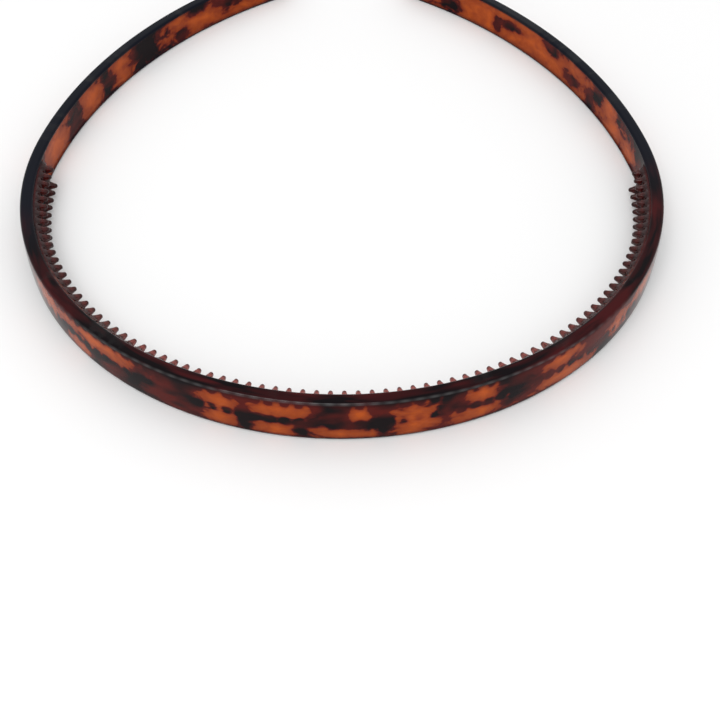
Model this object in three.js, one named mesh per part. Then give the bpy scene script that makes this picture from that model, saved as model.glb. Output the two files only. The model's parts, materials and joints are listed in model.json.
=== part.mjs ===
// Comb headband: one springy C-shaped band, with two rows of short teeth on its inner face.
// It lies on its lower edge with the crown towards -Y and the open tips towards +Y. Millimetres, +Z up.
// The real band is one moulding. It is cut on each side of the crown, where a sprung hinge stands for
// its bending, and each stretch of comb row is a strip of its own that stands a hair off the inner face.
//
// Outlines are drawn by two distances: along the outer face from the middle of the crown, with the right
// side positive, and the depth in from the outer face. wrap() turns them into a place.
import * as THREE from 'three';

// The C, seen from above, as two arcs a side
const CROWN_RADIUS = 65;
const CROWN_DEGREES = 99;
const ARM_RADIUS = 105;
const ARM_LENGTH = 90;

// The band's section
const THICKNESS = 2.7;
const CROWN_HEIGHT = 9.4;
const ARM_HEIGHT = 7.6;
const TAPER_START = 10;
const TAPER_END = 90;
const EDGE_ROUND = 0.5;
const TIP_ROUND = 3;

// The cut between crown and arm falls midway between two teeth
const TEETH_TO_CUT = 22;

// The comb rows
const TOOTH_PITCH_DEGREES = 2.25;
const TEETH_TO_ROW_END = 41;
const TOOTH_LENGTH = 1.75;
const TOOTH_ROOT_WIDTH = 1.4;
const TOOTH_TIP_WIDTH = 0.9;
const TOOTH_TIP_ROUND = 0.3;
const TOOTH_HEIGHT = 1.8;
const TOOTH_TIP_SHRINK = 0.5;
const RAIL_THICKNESS = 0.6;
const ROW_SPACING = 4.2;

// Between pieces that touch on the real band
const GAP = 0.3;

// How finely the outlines are cut
const BAND_STEP = 3.2;
const TIP_STEPS = 5;
const ROUND_STEPS = 6;
const BEVEL_STEPS = 2;

const CROWN_ANGLE = THREE.MathUtils.degToRad(CROWN_DEGREES);
const CROWN_LENGTH = CROWN_RADIUS * CROWN_ANGLE;
const HALF_LENGTH = CROWN_LENGTH + ARM_LENGTH;
const TOOTH_PITCH = CROWN_RADIUS * THREE.MathUtils.degToRad(TOOTH_PITCH_DEGREES);
const CUT = TEETH_TO_CUT * TOOTH_PITCH;

// How high the band stands at a distance along it
function heightAt(along) {
  const fall = THREE.MathUtils.smoothstep(Math.abs(along), TAPER_START, TAPER_END);
  return CROWN_HEIGHT - (CROWN_HEIGHT - ARM_HEIGHT) * fall;
}

// The tips are rounded off above and below: 1 along the band, down to 0 at the very end
function tipRounding(along) {
  const past = Math.max(0, Math.abs(along) - (HALF_LENGTH - TIP_ROUND)) / TIP_ROUND;
  return (1 - TIP_ROUND / ARM_HEIGHT) + (TIP_ROUND / ARM_HEIGHT) * Math.sqrt(Math.max(0, 1 - past * past));
}

// The crown's arc is centred at (0, CROWN_RADIUS). Each arm's centre lies on the line through the crown's
// centre and the joint between the two arcs.
const ARM_CENTRE_X = (CROWN_RADIUS - ARM_RADIUS) * Math.sin(CROWN_ANGLE);
const ARM_CENTRE_Y = CROWN_RADIUS - (CROWN_RADIUS - ARM_RADIUS) * Math.cos(CROWN_ANGLE);

// The place of a point that is a distance along the outer face and a depth in from it
function wrap(along, depth) {
  const side = Math.sign(along);
  const distance = Math.abs(along);
  if (distance <= CROWN_LENGTH) {
    const angle = distance / CROWN_RADIUS;
    const reach = CROWN_RADIUS - depth;
    return new THREE.Vector2(side * reach * Math.sin(angle), CROWN_RADIUS - reach * Math.cos(angle));
  }
  const angle = CROWN_ANGLE + (distance - CROWN_LENGTH) / ARM_RADIUS;
  const reach = ARM_RADIUS - depth;
  return new THREE.Vector2(
    side * (ARM_CENTRE_X + reach * Math.sin(angle)),
    ARM_CENTRE_Y - reach * Math.cos(angle),
  );
}

// The reverse: how far along the band a place is, either side, and how deep
function unwrap(x, y) {
  const crownAngle = Math.atan2(Math.abs(x), CROWN_RADIUS - y);
  if (crownAngle <= CROWN_ANGLE) {
    return [CROWN_RADIUS * crownAngle, CROWN_RADIUS - Math.hypot(x, y - CROWN_RADIUS)];
  }
  const toX = Math.abs(x) - ARM_CENTRE_X;
  const toY = ARM_CENTRE_Y - y;
  const along = CROWN_LENGTH + ARM_RADIUS * (Math.atan2(toX, toY) - CROWN_ANGLE);
  return [along, ARM_RADIUS - Math.hypot(toX, toY)];
}

// Gives each vertex the height rule(along, depth, z)
function reshape(geometry, rule) {
  const position = geometry.attributes.position;
  for (let i = 0; i < position.count; i += 1) {
    const [along, depth] = unwrap(position.getX(i), position.getY(i));
    position.setZ(i, rule(along, depth, position.getZ(i)));
  }
  geometry.deleteAttribute('uv');
  geometry.computeVertexNormals();
  return geometry;
}

// Distances evenly spread from one to another, both included
function spread(from, to, steps) {
  return Array.from({ length: steps + 1 }, (_, i) => THREE.MathUtils.lerp(from, to, i / steps));
}

// A stretch of the band: its outline from above, as high as the band stands, with its long edges rounded
function bandGeometry(stations, endPoints = []) {
  const outline = [
    ...stations.map((along) => wrap(along, 0)),
    ...endPoints,
    ...stations.toReversed().map((along) => wrap(along, THICKNESS)),
  ];
  const geometry = new THREE.ExtrudeGeometry(new THREE.Shape(outline), {
    depth: CROWN_HEIGHT - 2 * EDGE_ROUND,
    bevelThickness: EDGE_ROUND,
    bevelSize: EDGE_ROUND,
    bevelOffset: -EDGE_ROUND,
    bevelSegments: BEVEL_STEPS,
  });
  geometry.translate(0, 0, EDGE_ROUND);
  return reshape(geometry, (along, depth, z) => {
    const height = heightAt(along);
    const middle = height / 2;
    return middle + (z / CROWN_HEIGHT * height - middle) * tipRounding(along);
  });
}

function crownBand() {
  const end = CUT - GAP / 2;
  return bandGeometry(spread(-end, end, 2 * Math.round(end / BAND_STEP)));
}

// An arm's band ends in a round nose
function armBand(side) {
  const nose = THICKNESS / 2;
  const start = CUT + GAP / 2;
  const straightEnd = HALF_LENGTH - TIP_ROUND;
  const straight = spread(start, straightEnd, Math.round((straightEnd - start) / BAND_STEP));
  const tip = spread(straightEnd, HALF_LENGTH - nose, TIP_STEPS).slice(1);
  const round = spread(0, Math.PI, ROUND_STEPS).slice(1, -1).map((angle) => (
    wrap(side * (HALF_LENGTH - nose + nose * Math.sin(angle)), nose - nose * Math.cos(angle))
  ));
  return bandGeometry([...straight, ...tip].map((along) => side * along), round);
}

// A stretch of comb row, from one tooth number to another: a low rail with a tooth in the middle of each
// pitch. middleAt(along) is the height of the row's centre line.
function combGeometry(first, last, side, middleAt) {
  const back = THICKNESS + GAP;
  const root = back + RAIL_THICKNESS;
  const tip = root + TOOTH_LENGTH;
  const start = first * TOOTH_PITCH + GAP / 2;
  const end = last * TOOTH_PITCH - GAP / 2;
  const outline = [
    [start, root],
    ...spread(start, end, last - first).map((along) => [along, back]),
    [end, root],
  ];
  for (let i = last - 1; i >= first; i -= 1) {
    const centre = (i + 0.5) * TOOTH_PITCH;
    outline.push([centre + TOOTH_ROOT_WIDTH / 2, root]);
    outline.push([centre + TOOTH_TIP_WIDTH / 2, tip - TOOTH_TIP_ROUND]);
    outline.push([centre, tip]);
    outline.push([centre - TOOTH_TIP_WIDTH / 2, tip - TOOTH_TIP_ROUND]);
    outline.push([centre - TOOTH_ROOT_WIDTH / 2, root]);
  }
  const shape = new THREE.Shape(outline.map(([along, depth]) => wrap(side * along, depth)));
  const geometry = new THREE.ExtrudeGeometry(shape, { depth: TOOTH_HEIGHT, bevelEnabled: false });
  geometry.translate(0, 0, -TOOTH_HEIGHT / 2);
  return reshape(geometry, (along, depth, z) => {
    const out = Math.max(0, depth - root) / TOOTH_LENGTH;
    return middleAt(along) + z * (1 - TOOTH_TIP_SHRINK * out);
  });
}

// The two rows run side by side, centred on the band's height
const upperRow = (along) => (heightAt(along) + ROW_SPACING) / 2;
const lowerRow = (along) => (heightAt(along) - ROW_SPACING) / 2;

function plastic(color) {
  return new THREE.MeshStandardMaterial({ color, roughness: 0.18, metalness: 0 });
}

function piece(name, geometry, color) {
  const mesh = new THREE.Mesh(geometry, plastic(color));
  mesh.name = name;
  return mesh;
}

const TORTOISESHELL = 0x6b2a12;
const TOOTH_BROWN = 0x4a1c14;

const headband = new THREE.Group();
headband.add(piece('crown_band', crownBand(), TORTOISESHELL));
for (const [row, middleAt] of [['upper', upperRow], ['lower', lowerRow]]) {
  const teeth = combGeometry(-TEETH_TO_CUT, TEETH_TO_CUT, 1, middleAt);
  headband.add(piece(`crown_${row}_comb`, teeth, TOOTH_BROWN));
}
for (const [name, side] of [['right_arm', 1], ['left_arm', -1]]) {
  headband.add(piece(`${name}_band`, armBand(side), TORTOISESHELL));
  for (const [row, middleAt] of [['upper', upperRow], ['lower', lowerRow]]) {
    const teeth = combGeometry(TEETH_TO_CUT, TEETH_TO_ROW_END, side, middleAt);
    headband.add(piece(`${name}_${row}_comb`, teeth, TOOTH_BROWN));
  }
}

// The frame's origin is under the middle of the whole headband
const extent = new THREE.Box3().setFromObject(headband);
headband.position.y = -(extent.min.y + extent.max.y) / 2;

export default headband;
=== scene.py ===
import json
import math

import bpy
import numpy as np
from mathutils import Matrix, Vector


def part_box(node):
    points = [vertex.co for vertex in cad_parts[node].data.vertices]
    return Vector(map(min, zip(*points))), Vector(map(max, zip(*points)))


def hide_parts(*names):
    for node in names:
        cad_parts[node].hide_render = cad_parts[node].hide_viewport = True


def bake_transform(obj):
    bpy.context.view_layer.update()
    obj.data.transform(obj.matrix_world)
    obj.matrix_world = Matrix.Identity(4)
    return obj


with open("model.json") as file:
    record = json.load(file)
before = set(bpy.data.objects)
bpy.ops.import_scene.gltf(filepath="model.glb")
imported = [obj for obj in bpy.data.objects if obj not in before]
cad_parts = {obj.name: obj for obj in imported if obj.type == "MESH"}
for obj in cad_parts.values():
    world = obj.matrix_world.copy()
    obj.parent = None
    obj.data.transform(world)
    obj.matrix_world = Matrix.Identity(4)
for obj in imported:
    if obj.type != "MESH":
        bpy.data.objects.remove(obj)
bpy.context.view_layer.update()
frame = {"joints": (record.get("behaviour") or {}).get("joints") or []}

MM = 0.001
joints = {joint["name"]: joint for joint in frame["joints"]}


# ---------------------------------------------------------------- the C, seen from above

FRONT_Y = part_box("crown_band")[0].y
CROWN_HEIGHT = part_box("crown_band")[1].z
ARM_HEIGHT = 7.6 * MM
TAPER_START = 10 * MM
TAPER_END = 90 * MM
THICKNESS = 2.7 * MM

# The hinge pivot and the crown's front are both on the crown's arc, which gives its radius
PIVOT = Vector(joints["right_arm_flex"]["pos_m"])
PIVOT_BACK = PIVOT.y - FRONT_Y
CROWN_RADIUS = (PIVOT.x ** 2 + PIVOT_BACK ** 2) / (2 * PIVOT_BACK)
CROWN_SWEEP = math.radians(99)
CROWN_LENGTH = CROWN_RADIUS * CROWN_SWEEP
CROWN_CENTRE_Y = FRONT_Y + CROWN_RADIUS
ARM_RADIUS = 105 * MM
ARM_LENGTH = 90 * MM
ARM_CENTRE_X = (CROWN_RADIUS - ARM_RADIUS) * math.sin(CROWN_SWEEP)
ARM_CENTRE_Y = CROWN_CENTRE_Y - (CROWN_RADIUS - ARM_RADIUS) * math.cos(CROWN_SWEEP)
HALF_LENGTH = CROWN_LENGTH + ARM_LENGTH


def smoothstep(low, high, value):
    t = np.clip((value - low) / (high - low), 0, 1)
    return t * t * (3 - 2 * t)


def height_at(along):
    """How high the band stands."""
    return CROWN_HEIGHT - (CROWN_HEIGHT - ARM_HEIGHT) * smoothstep(TAPER_START, TAPER_END, along)


def wrap(along, depth):
    """X and Y of points on the right half."""
    on_arm = along > CROWN_LENGTH
    angle = np.where(on_arm, CROWN_SWEEP + (along - CROWN_LENGTH) / ARM_RADIUS, along / CROWN_RADIUS)
    reach = np.where(on_arm, ARM_RADIUS, CROWN_RADIUS) - depth
    x = np.where(on_arm, ARM_CENTRE_X, 0) + reach * np.sin(angle)
    y = np.where(on_arm, ARM_CENTRE_Y, CROWN_CENTRE_Y) - reach * np.cos(angle)
    return x, y


# ---------------------------------------------------------------- the band's section

OUTER_ROUND = 0.55 * MM
INNER_ROUND = 0.5 * MM
OUTER_BULGE = 0.18 * MM
CHANNEL_DEPTH = 0.25 * MM
RIM_INNER_EDGE = 0.68 * MM
RIM_TOP_WIDTH = 0.5 * MM

# Where the teeth stand
TOOTH_PITCH = CROWN_RADIUS * math.radians(2.25)
TEETH_IN_ROW = 41
COMB_LENGTH = TEETH_IN_ROW * TOOTH_PITCH
ROW_SPACING = 4.2 * MM

# Each row of teeth stands on a low rail
RAIL_DEPTH = 3.6 * MM
RAIL_TOP_HALF = 0.8 * MM
RAIL_FOOT_HALF = 1.2 * MM
RAIL_END_SLOPE = 1.2 * MM

# A tooth grows out of a block of the band's cells, with this many along each of its sides
BLOCK_CELLS = 4
BLOCK_HALF_HEIGHT = 1.0 * MM

# How finely the section is cut
OUTER_ROUND_STEPS = 6
INNER_ROUND_STEPS = 4
OUTER_FACE_STEPS = 14
LONG_EDGE_STEPS = 4
RIM_STEPS = 5
BETWEEN_ROWS_STEPS = 4


def row_inset(along):
    """How far the middle of each comb row stands in from the band's long edge."""
    return (height_at(along) - ROW_SPACING) / 2


def arc_points(centre_depth, centre_height, radius, from_degrees, to_degrees, steps, from_top):
    """Points round a corner of the section, as section_profile gives them."""
    points = []
    for angle in np.radians(np.linspace(from_degrees, to_degrees, steps + 1)):
        depth = centre_depth + radius * math.cos(angle)
        rise = centre_height + radius * math.sin(angle)
        points.append((depth, -rise if from_top else rise, 1.0 if from_top else 0.0, 0.0))
    return points


def spread(low, high, steps):
    """Evenly spaced values strictly between two."""
    return np.linspace(low, high, steps + 1)[1:-1]


def section_profile():
    """The closed section, and where the upper and lower comb blocks start in it.

    A point is its depth, then its height as an offset, a share of the band's height and a share of the
    row inset.
    """
    outer, inner = OUTER_ROUND, INNER_ROUND
    points = arc_points(outer, outer, outer, 270, 180, OUTER_ROUND_STEPS, False)
    points += [(0, outer * (1 - 2 * k), k, 0) for k in spread(0, 1, OUTER_FACE_STEPS)]
    points += arc_points(outer, outer, outer, 180, 270, OUTER_ROUND_STEPS, True)
    points += [(depth, 0, 1, 0) for depth in spread(outer, THICKNESS - inner, LONG_EDGE_STEPS)]
    points += arc_points(THICKNESS - inner, inner, inner, 270, 360, INNER_ROUND_STEPS, True)
    rim_rises = np.linspace(inner, RIM_INNER_EDGE, RIM_STEPS + 1)[1:]
    points += [(THICKNESS, -rise, 1, 0) for rise in rim_rises]
    upper_block = len(points)
    block_rises = np.linspace(-BLOCK_HALF_HEIGHT, BLOCK_HALF_HEIGHT, BLOCK_CELLS + 1)
    points += [(THICKNESS, -rise, 1, -1) for rise in block_rises]
    points += [
        (THICKNESS, BLOCK_HALF_HEIGHT * (2 * k - 1), 1 - k, 2 * k - 1)
        for k in spread(0, 1, BETWEEN_ROWS_STEPS)
    ]
    lower_block = len(points)
    points += [(THICKNESS, rise, 0, 1) for rise in block_rises[::-1]]
    points += [(THICKNESS, rise, 0, 0) for rise in rim_rises[::-1]]
    points += arc_points(THICKNESS - inner, inner, inner, 360, 270, INNER_ROUND_STEPS, False)
    points += [(depth, 0, 0, 0) for depth in spread(THICKNESS - inner, outer, LONG_EDGE_STEPS)]
    return np.array(points), upper_block, lower_block


PROFILE, UPPER_BLOCK, LOWER_BLOCK = section_profile()
AROUND = len(PROFILE)

# The tips' rounding, seen from the side and from above, and where the inner channel fades out before them
TIP_CORNER = 3 * MM
TIP_EDGE = 1 * MM
CHANNEL_GONE = 1.5 * MM
CHANNEL_FULL = 6 * MM


def rounding(distance, radius, full):
    """How much of a full width is left at a distance from an end that is rounded at that radius."""
    into = np.clip(radius - distance, 0, radius)
    return 1 - 2 * (radius - np.sqrt(radius ** 2 - into ** 2)) / full


def surface(along):
    """Depth and height of every section point at each station."""
    height = height_at(along)[:, None]
    to_end = (HALF_LENGTH - along)[:, None]
    depth = np.repeat(PROFILE[None, :, 0], len(along), axis=0)
    inset = row_inset(along)[:, None]
    rise = PROFILE[None, :, 1] + PROFILE[None, :, 2] * height + PROFILE[None, :, 3] * inset
    from_middle = 2 * rise / height - 1
    from_edge = np.minimum(rise, height - rise)

    # The channel between the inner face's rims
    hollow = smoothstep(RIM_TOP_WIDTH, RIM_INNER_EDGE, from_edge)
    hollow = hollow * smoothstep(CHANNEL_GONE, CHANNEL_FULL, to_end)
    hollow = np.where(depth > THICKNESS / 2, hollow, 0)

    # The rails, which rise from the channel
    on_rail = 1 - smoothstep(RAIL_TOP_HALF, RAIL_FOOT_HALF, np.abs(from_edge - inset))
    on_rail = on_rail * (1 - smoothstep(COMB_LENGTH, COMB_LENGTH + RAIL_END_SLOPE, along))[:, None]
    on_rail = np.where(depth >= THICKNESS, on_rail, 0)
    rail_rise = RAIL_DEPTH - THICKNESS + CHANNEL_DEPTH * hollow
    depth = depth + OUTER_BULGE * from_middle ** 2 * (1 - depth / THICKNESS) - CHANNEL_DEPTH * hollow
    depth = depth + rail_rise * on_rail

    # The rounded tip
    tip_height = rounding(to_end, TIP_CORNER, ARM_HEIGHT)
    tip_thickness = rounding(to_end, TIP_EDGE, THICKNESS)
    rise = height / 2 + (rise - height / 2) * tip_height
    depth = THICKNESS / 2 + (depth - THICKNESS / 2) * tip_thickness
    return depth, rise


# ---------------------------------------------------------------- the comb teeth

CELLS_PER_PITCH = 6
TOOTH_TIP_DEPTH = 5.35 * MM
ROOT_HALF = (0.7 * MM, 0.8 * MM)
SHAFT_END_HALF = (0.48 * MM, 0.52 * MM)
DOME_LENGTH = 0.45 * MM
FILLET = 0.16 * MM

# A ring is as square as a block of cells when it is 0 round, and an ellipse when it is 1 round.
# The fillet's rings are (share of its length, share of the way out from the root to the block, how round).
FILLET_RINGS = ((0.15, 0.45, 0.25), (0.5, 0.12, 0.4), (1.0, 0.0, 0.5))
ROOT_ROUND = 0.5
SHAFT_STEPS = 5
DOME_DEGREES = (22, 44, 62, 78)


def tooth_rings():
    """Rings up a tooth as (depth, half width, half height, how round)."""
    block_half = (BLOCK_CELLS / 2 * TOOTH_PITCH / CELLS_PER_PITCH, BLOCK_HALF_HEIGHT)
    rings = []
    for lift, spare, roundness in FILLET_RINGS:
        half = [root + (block - root) * spare for root, block in zip(ROOT_HALF, block_half)]
        rings.append((RAIL_DEPTH + FILLET * lift, *half, roundness))
    shaft_start = RAIL_DEPTH + FILLET
    shaft_end = TOOTH_TIP_DEPTH - DOME_LENGTH
    for t in np.linspace(0, 1, SHAFT_STEPS + 1)[1:]:
        half = [root + (end - root) * t for root, end in zip(ROOT_HALF, SHAFT_END_HALF)]
        roundness = ROOT_ROUND + (1 - ROOT_ROUND) * t
        rings.append((shaft_start + (shaft_end - shaft_start) * t, *half, roundness))
    for angle in np.radians(DOME_DEGREES):
        half = [end * math.cos(angle) for end in SHAFT_END_HALF]
        rings.append((shaft_end + DOME_LENGTH * math.sin(angle), *half, 1.0))
    return rings


def block_rim():
    """The vertices round a block of cells as (column, row), in order, from one corner."""
    n = BLOCK_CELLS
    return (
        [(i, 0) for i in range(n)]
        + [(n, j) for j in range(n)]
        + [(n - i, n) for i in range(n)]
        + [(0, n - j) for j in range(n)]
    )


TOOTH_RINGS = tooth_rings()
BLOCK_RIM = block_rim()


def ring_points(centre, middle, ring):
    """The points of one ring of a tooth, in the order of BLOCK_RIM."""
    ring_depth, half_width, half_height, roundness = ring
    points = []
    for i, j in BLOCK_RIM:
        u = 2 * i / BLOCK_CELLS - 1
        v = 1 - 2 * j / BLOCK_CELLS
        points.append((
            centre + half_width * u * math.sqrt(1 - roundness * v * v / 2),
            ring_depth,
            middle + half_height * v * math.sqrt(1 - roundness * u * u / 2),
        ))
    return points


def grow_tooth(centre, middle, foot, places, faces):
    """Adds a tooth to the places and faces, up from its foot, the vertices round its block in the band."""
    below = foot
    count = len(foot)
    for ring in TOOTH_RINGS:
        above = range(len(places), len(places) + count)
        places += ring_points(centre, middle, ring)
        for k in range(count):
            after = (k + 1) % count
            faces.append((below[k], below[after], above[after], above[k]))
        below = above
    tip = len(places)
    places.append((centre, TOOTH_TIP_DEPTH, middle))
    faces += [(below[k], below[(k + 1) % count], tip) for k in range(count)]


# ---------------------------------------------------------------- the clouds in the plastic

# Clouds reach through the whole thickness: (along, height, half length, half height) in mm, left
# negative. The dark ones lie over the amber ones.
AMBER_CLOUDS = (
    (-182, 4.0, 20, 5.0), (-146.5, 3.8, 4.4, 4.6), (-133, 3.8, 4.8, 4.6), (-114.5, 3.8, 7.4, 4.6),
    (-64, 5.4, 6.5, 2.3), (-47, 6.9, 9.8, 2.1), (-53, 2.2, 4.0, 1.6), (-20.5, 6.8, 3.7, 2.1),
    (-20.5, 2.3, 3.7, 1.8), (-9.5, 7.1, 5.3, 2.0), (-10.6, 2.2, 4.2, 1.7), (0.8, 1.9, 5.8, 1.5),
    (3.8, 7.0, 1.7, 2.1), (13.2, 4.2, 4.5, 4.1), (24.4, 2.3, 6.5, 1.9), (25.5, 7.0, 3.2, 2.5),
    (42.5, 7.0, 5.3, 2.1), (43.0, 2.3, 7.8, 1.8), (59.0, 4.6, 3.8, 2.6), (69, 5.2, 5.5, 2.3),
    (116, 2.5, 4.2, 2.8), (125, 2.3, 6.0, 2.4), (127.6, 4.9, 3.6, 4.0), (168, 3.8, 38, 5.4),
)
DARK_CLOUDS = (
    (-184, 5.6, 4.6, 3.4), (-174, 7.0, 3.0, 2.2), (-168, 2.2, 2.8, 1.8), (-155.5, 4.0, 5.6, 5.4),
    (-140.3, 3.6, 2.6, 4.8), (-125, 3.8, 3.8, 5.2), (-16, 4.6, 1.6, 5.2), (-6.2, 2.2, 1.5, 2.4),
    (2.6, 4.0, 7.0, 1.1), (7.9, 4.8, 1.8, 4.8), (18.4, 5.6, 1.6, 4.4), (33, 4.4, 3.4, 5.8),
    (133.6, 5.0, 2.4, 2.8), (136.6, 2.1, 2.4, 2.8), (144, 2.5, 3.7, 1.7), (153, 5.9, 3.6, 1.7),
    (168.5, 4.5, 4.2, 1.2), (173, 3.0, 1.3, 2.6), (188, 2.4, 3.4, 2.2), (195, 6.4, 3.0, 2.0),
)


def nearest_cloud(along, height, clouds):
    """1 in the middle of a cloud, 0 at its rim and negative outside it."""
    best = np.full(along.shape, -1.0)
    for middle, level, half_length, half_height in clouds:
        reach = np.hypot((along / MM - middle) / half_length, (height / MM - level) / half_height)
        best = np.maximum(best, 1 - reach)
    return best


def cloudiness(along, height):
    """Above 0 where the plastic is amber, below it where it is dark."""
    amber = nearest_cloud(along, height, AMBER_CLOUDS)
    return np.minimum(amber, -nearest_cloud(along, height, DARK_CLOUDS))


# ---------------------------------------------------------------- how the plastic looks, place by place

# How far in from its long edges the plastic looks dark
EDGE_DARK = 0.25 * MM
EDGE_CLEAR = 0.9 * MM
# Where along each side the long edges turn from dark red to blue-black, and over what length; the blue is
# a painted reflection of the sky
SKY_REFLECTION_START = {1: 88 * MM, -1: 68 * MM}
SKY_REFLECTION_LENGTH = 24 * MM
# How far from a row's middle the plastic in front of its teeth is painted darker, a painted shade for the
# teeth seen through it. Through the outer face, looked at from above, the rows appear higher than they
# are.
PAINTED_SHADE_NEAR = 0.4 * MM
PAINTED_SHADE_FAR = 1.4 * MM
PAINTED_SHADE_LIFT = 2.0 * MM
# The front teeth are lit from behind, so they are painted lighter than those at the sides: painted
# backlight
FRONT_END = 35 * MM
SIDE_START = 70 * MM
# Round the front the top outer edge gets a glossy coat that reflects the lamps, most of all in front of
# each tooth, where it is a painted glint for light coming through the teeth
GLINT_NEAR = 0.2 * MM
GLINT_FAR = 0.55 * MM
# Beside the comb the dark plastic is redder in a strip below the top edge, and fades to black further down
RED_STRIP_TOP = 2.2 * MM
RED_STRIP_END = 4.4 * MM


def paint(mesh, place, side):
    """Stores what the material needs at each vertex."""
    along, depth, rise = place.T
    distance = np.abs(along)
    height = height_at(distance)
    from_edge = np.minimum(rise, height - rise)
    from_top = height - rise
    seen_rise = rise - PAINTED_SHADE_LIFT * np.clip(1 - depth / THICKNESS, 0, 1)
    from_row = np.abs(np.minimum(seen_rise, height - seen_rise) - row_inset(distance))
    in_comb = distance < COMB_LENGTH
    # front: where the front teeth are painted lighter for their backlight, and where the painted glints
    # lie
    front = 1 - smoothstep(FRONT_END, SIDE_START, distance)
    reflection_start = SKY_REFLECTION_START[side]
    values = {
        "amber": cloudiness(along, rise),
        "edge": 1 - smoothstep(EDGE_DARK, EDGE_CLEAR, from_edge),
        "tooth": np.clip((depth - THICKNESS) / (TOOTH_TIP_DEPTH - THICKNESS), 0, 1),
        "front": front,
        "glint": front * (1 - smoothstep(GLINT_NEAR, GLINT_FAR, np.maximum(depth, from_top))),
        # arm: where the long edges take the painted blue sky reflection
        "arm": smoothstep(reflection_start, reflection_start + SKY_REFLECTION_LENGTH, distance),
        # Painted shade: the plastic in front of each comb row is darkened where the teeth show through it
        "behind": in_comb * (1 - smoothstep(PAINTED_SHADE_NEAR, PAINTED_SHADE_FAR, from_row)),
        "strip": in_comb * (1 - smoothstep(RED_STRIP_TOP, RED_STRIP_END, from_top)),
    }
    mesh.attributes.new("place", "FLOAT_VECTOR", "POINT").data.foreach_set("vector", place.ravel())
    for key, value in values.items():
        mesh.attributes.new(key, "FLOAT", "POINT").data.foreach_set("value", value)


# ---------------------------------------------------------------- one half of the headband

PLAIN_STEP = 1 * MM
TIP_STEPS = 10


def stations():
    """Distances along the half of its sections: even cells through the comb, then on to the tip."""
    comb = np.linspace(0, COMB_LENGTH, TEETH_IN_ROW * CELLS_PER_PITCH + 1)
    plain_end = HALF_LENGTH - TIP_CORNER
    plain_cells = round((plain_end - COMB_LENGTH) / PLAIN_STEP)
    plain = np.linspace(COMB_LENGTH, plain_end, plain_cells + 1)[1:]
    tip_angles = np.radians(np.linspace(0, 90, TIP_STEPS + 1)[1:])
    tip = HALF_LENGTH - TIP_CORNER * (1 - np.sin(tip_angles))
    return np.concatenate([comb, plain, tip])


def shell_geometry():
    """The band and its teeth from the middle of the crown to one tip.

    A place is (along, depth, rise). The faces look out of the right half.
    """
    along = stations()
    depth, rise = surface(along)
    grid = np.stack([np.repeat(along[:, None], AROUND, axis=1), depth, rise], axis=2)
    places = grid.reshape(-1, 3).tolist()
    faces = []
    covered = set()

    for number in range(TEETH_IN_ROW):
        first_column = number * CELLS_PER_PITCH + (CELLS_PER_PITCH - BLOCK_CELLS) // 2
        centre = (number + 0.5) * TOOTH_PITCH
        inset = row_inset(centre)
        for first_row, middle in ((UPPER_BLOCK, height_at(centre) - inset), (LOWER_BLOCK, inset)):
            for i in range(BLOCK_CELLS):
                covered.update((first_column + i, first_row + j) for j in range(BLOCK_CELLS))
            foot = [(first_column + i) * AROUND + first_row + j for i, j in BLOCK_RIM]
            grow_tooth(centre, middle, foot, places, faces)

    for column in range(len(along) - 1):
        for row in range(AROUND):
            if (column, row) not in covered:
                a = column * AROUND + row
                b = column * AROUND + (row + 1) % AROUND
                faces.append((a, a + AROUND, b + AROUND, b))
    faces.append(tuple(range(AROUND)))
    tip_start = (len(along) - 1) * AROUND
    faces.append(tuple(reversed(range(tip_start, tip_start + AROUND))))
    return np.array(places), faces


def half_shell(name, side, right_place, right_faces):
    """One half as an object. side is 1 for the right and -1 for the left."""
    place = right_place * (side, 1, 1)
    x, y = wrap(right_place[:, 0], right_place[:, 1])
    points = np.stack([side * x, y, place[:, 2]], axis=1)
    faces = right_faces if side > 0 else [tuple(reversed(face)) for face in right_faces]
    mesh = bpy.data.meshes.new(name)
    mesh.from_pydata(points.tolist(), [], faces)
    mesh.shade_smooth()
    # The two halves meet in flat ends at the middle of the crown
    seam = {tuple(sorted((k, (k + 1) % AROUND))) for k in range(AROUND)}
    for edge in mesh.edges:
        edge.use_edge_sharp = tuple(sorted(edge.vertices)) in seam
    paint(mesh, place, side)
    mesh.validate()
    half = bpy.data.objects.new(name, mesh)
    bpy.context.scene.collection.objects.link(half)
    return half


# ---------------------------------------------------------------- materials


def add(tree, kind, inputs=None, **settings):
    """A new node with its settings and inputs. An input is a value, or an output socket to link."""
    node = tree.nodes.new(kind)
    for key, value in settings.items():
        setattr(node, key, value)
    for key, value in (inputs or {}).items():
        if isinstance(value, bpy.types.NodeSocket):
            tree.links.new(value, node.inputs[key])
        else:
            node.inputs[key].default_value = value
    return node


def colour(red, green, blue):
    return (red, green, blue, 1.0)


def ramp(tree, value, stops):
    """A colour ramp through (position, colour) stops."""
    node = add(tree, "ShaderNodeValToRGB", {"Fac": value})
    elements = node.color_ramp.elements
    while len(elements) > 1:
        elements.remove(elements[0])
    elements[0].position, elements[0].color = stops[0]
    for position, shade in stops[1:]:
        elements.new(position).color = shade
    return node.outputs["Color"]


def attribute(tree, name, output="Fac"):
    return add(tree, "ShaderNodeAttribute", attribute_name=name).outputs[output]


def math_node(tree, operation, *values):
    return add(tree, "ShaderNodeMath", dict(enumerate(values)), operation=operation).outputs[0]


# The mix node's sockets when it mixes colours
MIX_FACTOR = 0
MIX_FIRST = 6
MIX_SECOND = 7
MIX_RESULT = 2


def mix_colour(tree, factor, first, second):
    inputs = {MIX_FACTOR: factor, MIX_FIRST: first, MIX_SECOND: second}
    return add(tree, "ShaderNodeMix", inputs, data_type="RGBA").outputs[MIX_RESULT]


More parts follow.
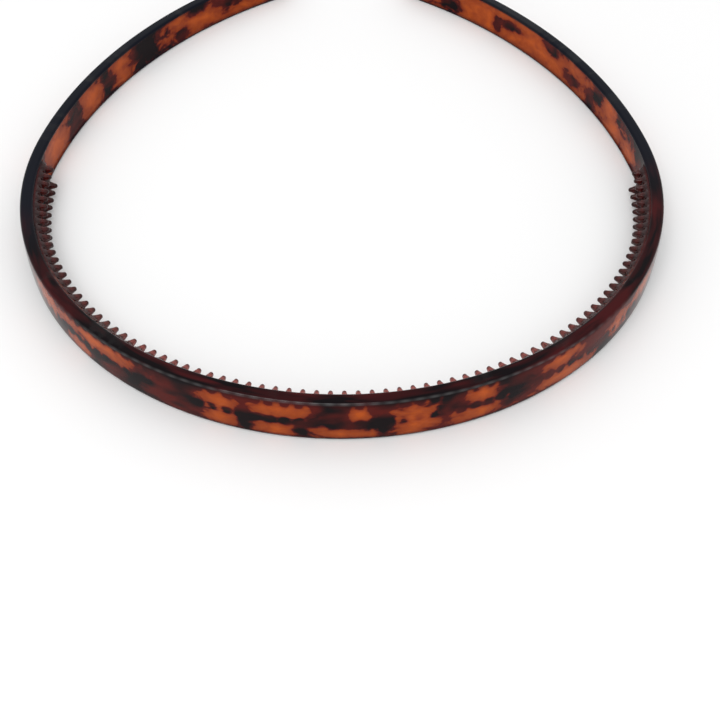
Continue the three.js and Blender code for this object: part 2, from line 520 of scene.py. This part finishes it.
def noise(tree, place, cells, detail, distortion):
    """Cloudy noise. cells are how many fit in a metre along, through and up the band."""
    scaled = add(tree, "ShaderNodeVectorMath", {0: place, 1: cells}, operation="MULTIPLY").outputs[0]
    inputs = {"Vector": scaled, "Scale": 1.0, "Detail": detail, "Distortion": distortion}
    return add(tree, "ShaderNodeTexNoise", inputs).outputs["Fac"]


AMBER = colour(0.52, 0.090, 0.009)
MID_AMBER = colour(0.34, 0.054, 0.008)
DEEP_AMBER = colour(0.22, 0.032, 0.009)
RED_BROWN = colour(0.085, 0.010, 0.008)
NEAR_BLACK = colour(0.008, 0.005, 0.006)
EDGE_BLACK = colour(0.005, 0.003, 0.004)
SKY_REFLECTION_BLUE = colour(0.005, 0.006, 0.011)
EDGE_RED = colour(0.05, 0.006, 0.007)
TOOTH_RED = colour(0.17, 0.018, 0.015)
TOOTH_TIP_RED = colour(0.055, 0.008, 0.008)
BACKLIT_ROOT_RED = colour(0.12, 0.022, 0.02)
BACKLIT_TOOTH_RED = colour(0.52, 0.13, 0.11)
BACKLIT_TIP_RED = colour(0.16, 0.03, 0.028)
MOST_OF_TOOTH = colour(0.85, 0.85, 0.85)
BLACK = colour(0, 0, 0)
WHITE = colour(1, 1, 1)

# Noise in the plastic, as noise() takes it: cells, detail, distortion
COARSE_NOISE = ((260, 0, 420), 2.5, 0.7)
FINE_NOISE = ((800, 0, 1000), 2, 0.5)
BROAD_NOISE = ((85, 520, 190), 2, 0.4)

# How far the noise, and the painted shade of the teeth behind the plastic, move a cloud's rim
COARSE_AMOUNT = 1.8
FINE_AMOUNT = 0.5
PAINTED_TOOTH_SHADE_AMOUNT = 0.36

# From the cloudiness to the level that the clouds' ramps go by, where a rim lies at LEVEL_AT_RIM
LEVEL_SLOPE = 0.6
LEVEL_AT_RIM = 0.35
STRIP_REDNESS = 0.13

# How clear the teeth are, and the amber plastic
TOOTH_CLEARNESS = 0.75
AMBER_CLEARNESS = 0.22

# The glossy coat along the front's top edge: on average, and how much more there is at a tooth, a painted
# glint
GLINT_MEAN = 0.7
GLINT_SWING = 0.3


def tooth_wave(tree, place):
    """-1 in line with the middle of each tooth, 1 midway between two."""
    along = add(tree, "ShaderNodeSeparateXYZ", {0: place}).outputs[0]
    return math_node(tree, "COSINE", math_node(tree, "MULTIPLY", along, 2 * math.pi / TOOTH_PITCH))


def cloud_field(tree, place):
    """The cloudiness with ragged rims, and with painted shade darkening the plastic in front of each
    tooth.
    """
    coarse = noise(tree, place, *COARSE_NOISE)
    fine = noise(tree, place, *FINE_NOISE)
    field = math_node(tree, "MULTIPLY_ADD", coarse, COARSE_AMOUNT, attribute(tree, "amber"))
    field = math_node(tree, "MULTIPLY_ADD", fine, FINE_AMOUNT, field)
    field = math_node(tree, "ADD", field, -(COARSE_AMOUNT + FINE_AMOUNT) / 2)
    wave = tooth_wave(tree, place)
    # Painted shade of the teeth seen through the plastic, darkest in line with each tooth
    painted_tooth_shade = math_node(tree, "MULTIPLY", math_node(tree, "ADD", wave, -1.0), attribute(tree, "behind"))
    return math_node(tree, "MULTIPLY_ADD", painted_tooth_shade, PAINTED_TOOTH_SHADE_AMOUNT, field)


def cloud_shade(tree, level, broad):
    """The colours of amber and dark plastic."""
    rim = ramp(tree, level, [(0.10, BLACK), (0.32, WHITE)])
    redness = math_node(tree, "MULTIPLY_ADD", attribute(tree, "strip"), STRIP_REDNESS, broad)
    dark = ramp(tree, redness, [(0.47, NEAR_BLACK), (0.64, RED_BROWN)])
    warm_stops = [(0.28, RED_BROWN), (0.38, DEEP_AMBER), (0.55, MID_AMBER), (0.95, AMBER)]
    return mix_colour(tree, rim, dark, ramp(tree, level, warm_stops))


def edge_shade(tree, broad):
    """The colours of the long edges, which differ between comb and arms; on the arms they take a painted
    blue sky reflection.
    """
    comb_shade = ramp(tree, broad, [(0.4, EDGE_BLACK), (0.65, EDGE_RED)])
    return mix_colour(tree, attribute(tree, "arm"), comb_shade, SKY_REFLECTION_BLUE)


def tooth_shade(tree, tooth):
    """The colours up a tooth, with the front teeth painted lighter for the light from behind them."""
    side_tooth = ramp(tree, tooth, [(0.36, EDGE_RED), (0.6, TOOTH_RED), (0.95, TOOTH_TIP_RED)])
    backlit_stops = [(0.36, BACKLIT_ROOT_RED), (0.6, BACKLIT_TOOTH_RED), (0.95, BACKLIT_TIP_RED)]
    return mix_colour(tree, attribute(tree, "front"), side_tooth, ramp(tree, tooth, backlit_stops))


def tortoiseshell():
    """Clear amber plastic with near-black clouds. Its long edges are near black and its teeth dark red."""
    material = bpy.data.materials.new("tortoiseshell")
    material.use_nodes = True
    tree = material.node_tree
    shader = tree.nodes["Principled BSDF"]
    place = attribute(tree, "place", "Vector")
    tooth = attribute(tree, "tooth")
    broad = noise(tree, place, *BROAD_NOISE)
    level = math_node(tree, "MULTIPLY_ADD", cloud_field(tree, place), LEVEL_SLOPE, LEVEL_AT_RIM)

    clouds = cloud_shade(tree, level, broad)
    shade = mix_colour(tree, attribute(tree, "edge"), clouds, edge_shade(tree, broad))
    tooth_cover = ramp(tree, tooth, [(0.0, BLACK), (0.2, MOST_OF_TOOTH)])
    shade = mix_colour(tree, tooth_cover, shade, tooth_shade(tree, tooth))
    tree.links.new(shade, shader.inputs["Base Color"])

    clear = ramp(tree, level, [(0.30, BLACK), (0.55, WHITE)])
    tooth_clear = math_node(tree, "MULTIPLY", tooth_cover, TOOTH_CLEARNESS)
    see_through = math_node(tree, "MULTIPLY_ADD", clear, AMBER_CLEARNESS, tooth_clear)
    tree.links.new(see_through, shader.inputs["Transmission Weight"])

    # Painted glints: a coat weight peaking in line with each tooth, for light that comes through the teeth
    glints = math_node(tree, "MULTIPLY_ADD", tooth_wave(tree, place), -GLINT_SWING, GLINT_MEAN)
    glint_coat = math_node(tree, "MULTIPLY", glints, attribute(tree, "glint"))
    tree.links.new(glint_coat, shader.inputs["Coat Weight"])

    shader.inputs["Coat IOR"].default_value = 1.7
    shader.inputs["Roughness"].default_value = 0.1
    shader.inputs["IOR"].default_value = 1.45
    shader.inputs["Specular IOR Level"].default_value = 0.06
    absorbed = {"Color": colour(0.85, 0.36, 0.02), "Density": 420.0}
    absorption = add(tree, "ShaderNodeVolumeAbsorption", absorbed)
    tree.links.new(absorption.outputs[0], tree.nodes["Material Output"].inputs["Volume"])
    return material


def floor_material():
    material = bpy.data.materials.new("floor")
    material.use_nodes = True
    shader = material.node_tree.nodes["Principled BSDF"]
    shader.inputs["Base Color"].default_value = colour(0.92, 0.92, 0.92)
    shader.inputs["Roughness"].default_value = 0.9
    return material


# ---------------------------------------------------------------- camera, floor and light


def place_camera():
    """Looks down on the crown from the front, close by, with the tips out of the top of the picture."""
    distance = 213.3 * MM
    elevation, roll = math.radians(47.4), math.radians(0.4)
    target = Vector((3.8 * MM, FRONT_Y + 18.9 * MM, 0))
    forward = Vector((0, math.cos(elevation), -math.sin(elevation)))
    level_right = Vector((1, 0, 0))
    level_up = level_right.cross(forward)
    right = level_right * math.cos(roll) + level_up * math.sin(roll)
    up = level_up * math.cos(roll) - level_right * math.sin(roll)
    data = bpy.data.cameras.new("camera")
    data.lens = 58.4
    data.clip_start = 5 * MM
    camera = bpy.data.objects.new("camera", data)
    turn = Matrix((right, up, -forward)).transposed().to_4x4()
    camera.matrix_world = Matrix.Translation(target - forward * distance) @ turn
    bpy.context.scene.collection.objects.link(camera)
    bpy.context.scene.camera = camera


def place_floor():
    size = 3.0
    corners = [(-size, -size, 0), (size, -size, 0), (size, size, 0), (-size, size, 0)]
    mesh = bpy.data.meshes.new("floor")
    mesh.from_pydata(corners, [], [(0, 1, 2, 3)])
    mesh.materials.append(floor_material())
    floor = bpy.data.objects.new("floor", mesh)
    bpy.context.scene.collection.objects.link(floor)


def softbox(name, position, target, size, power):
    data = bpy.data.lights.new(name, "AREA")
    data.shape = "RECTANGLE"
    data.size, data.size_y = size
    data.energy = power
    light = bpy.data.objects.new(name, data)
    light.location = position
    light.rotation_euler = (Vector(target) - Vector(position)).to_track_quat("-Z", "Y").to_euler()
    bpy.context.scene.collection.objects.link(light)


def place_light():
    world = bpy.data.worlds.new("studio")
    world.use_nodes = True
    background = world.node_tree.nodes["Background"]
    background.inputs["Color"].default_value = WHITE
    background.inputs["Strength"].default_value = 0.93
    bpy.context.scene.world = world
    bpy.context.scene.view_settings.view_transform = "Standard"
    softbox("key", position=(-0.15, -0.4, 0.7), target=(0, 0, 0), size=(0.5, 0.4), power=1.6)


# ---------------------------------------------------------------- scene and the two halves


place_camera()
place_floor()
place_light()

shell_material = tortoiseshell()
right_place, right_faces = shell_geometry()
for side, arm in ((1, "right_arm"), (-1, "left_arm")):
    half = half_shell(arm.replace("arm", "half"), side, right_place, right_faces)
    half.data.materials.append(shell_material)
    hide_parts(*(f"{arm}_{part}" for part in ("band", "upper_comb", "lower_comb")))
    if side > 0:
        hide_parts("crown_band", "crown_upper_comb", "crown_lower_comb")
    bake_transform(half)
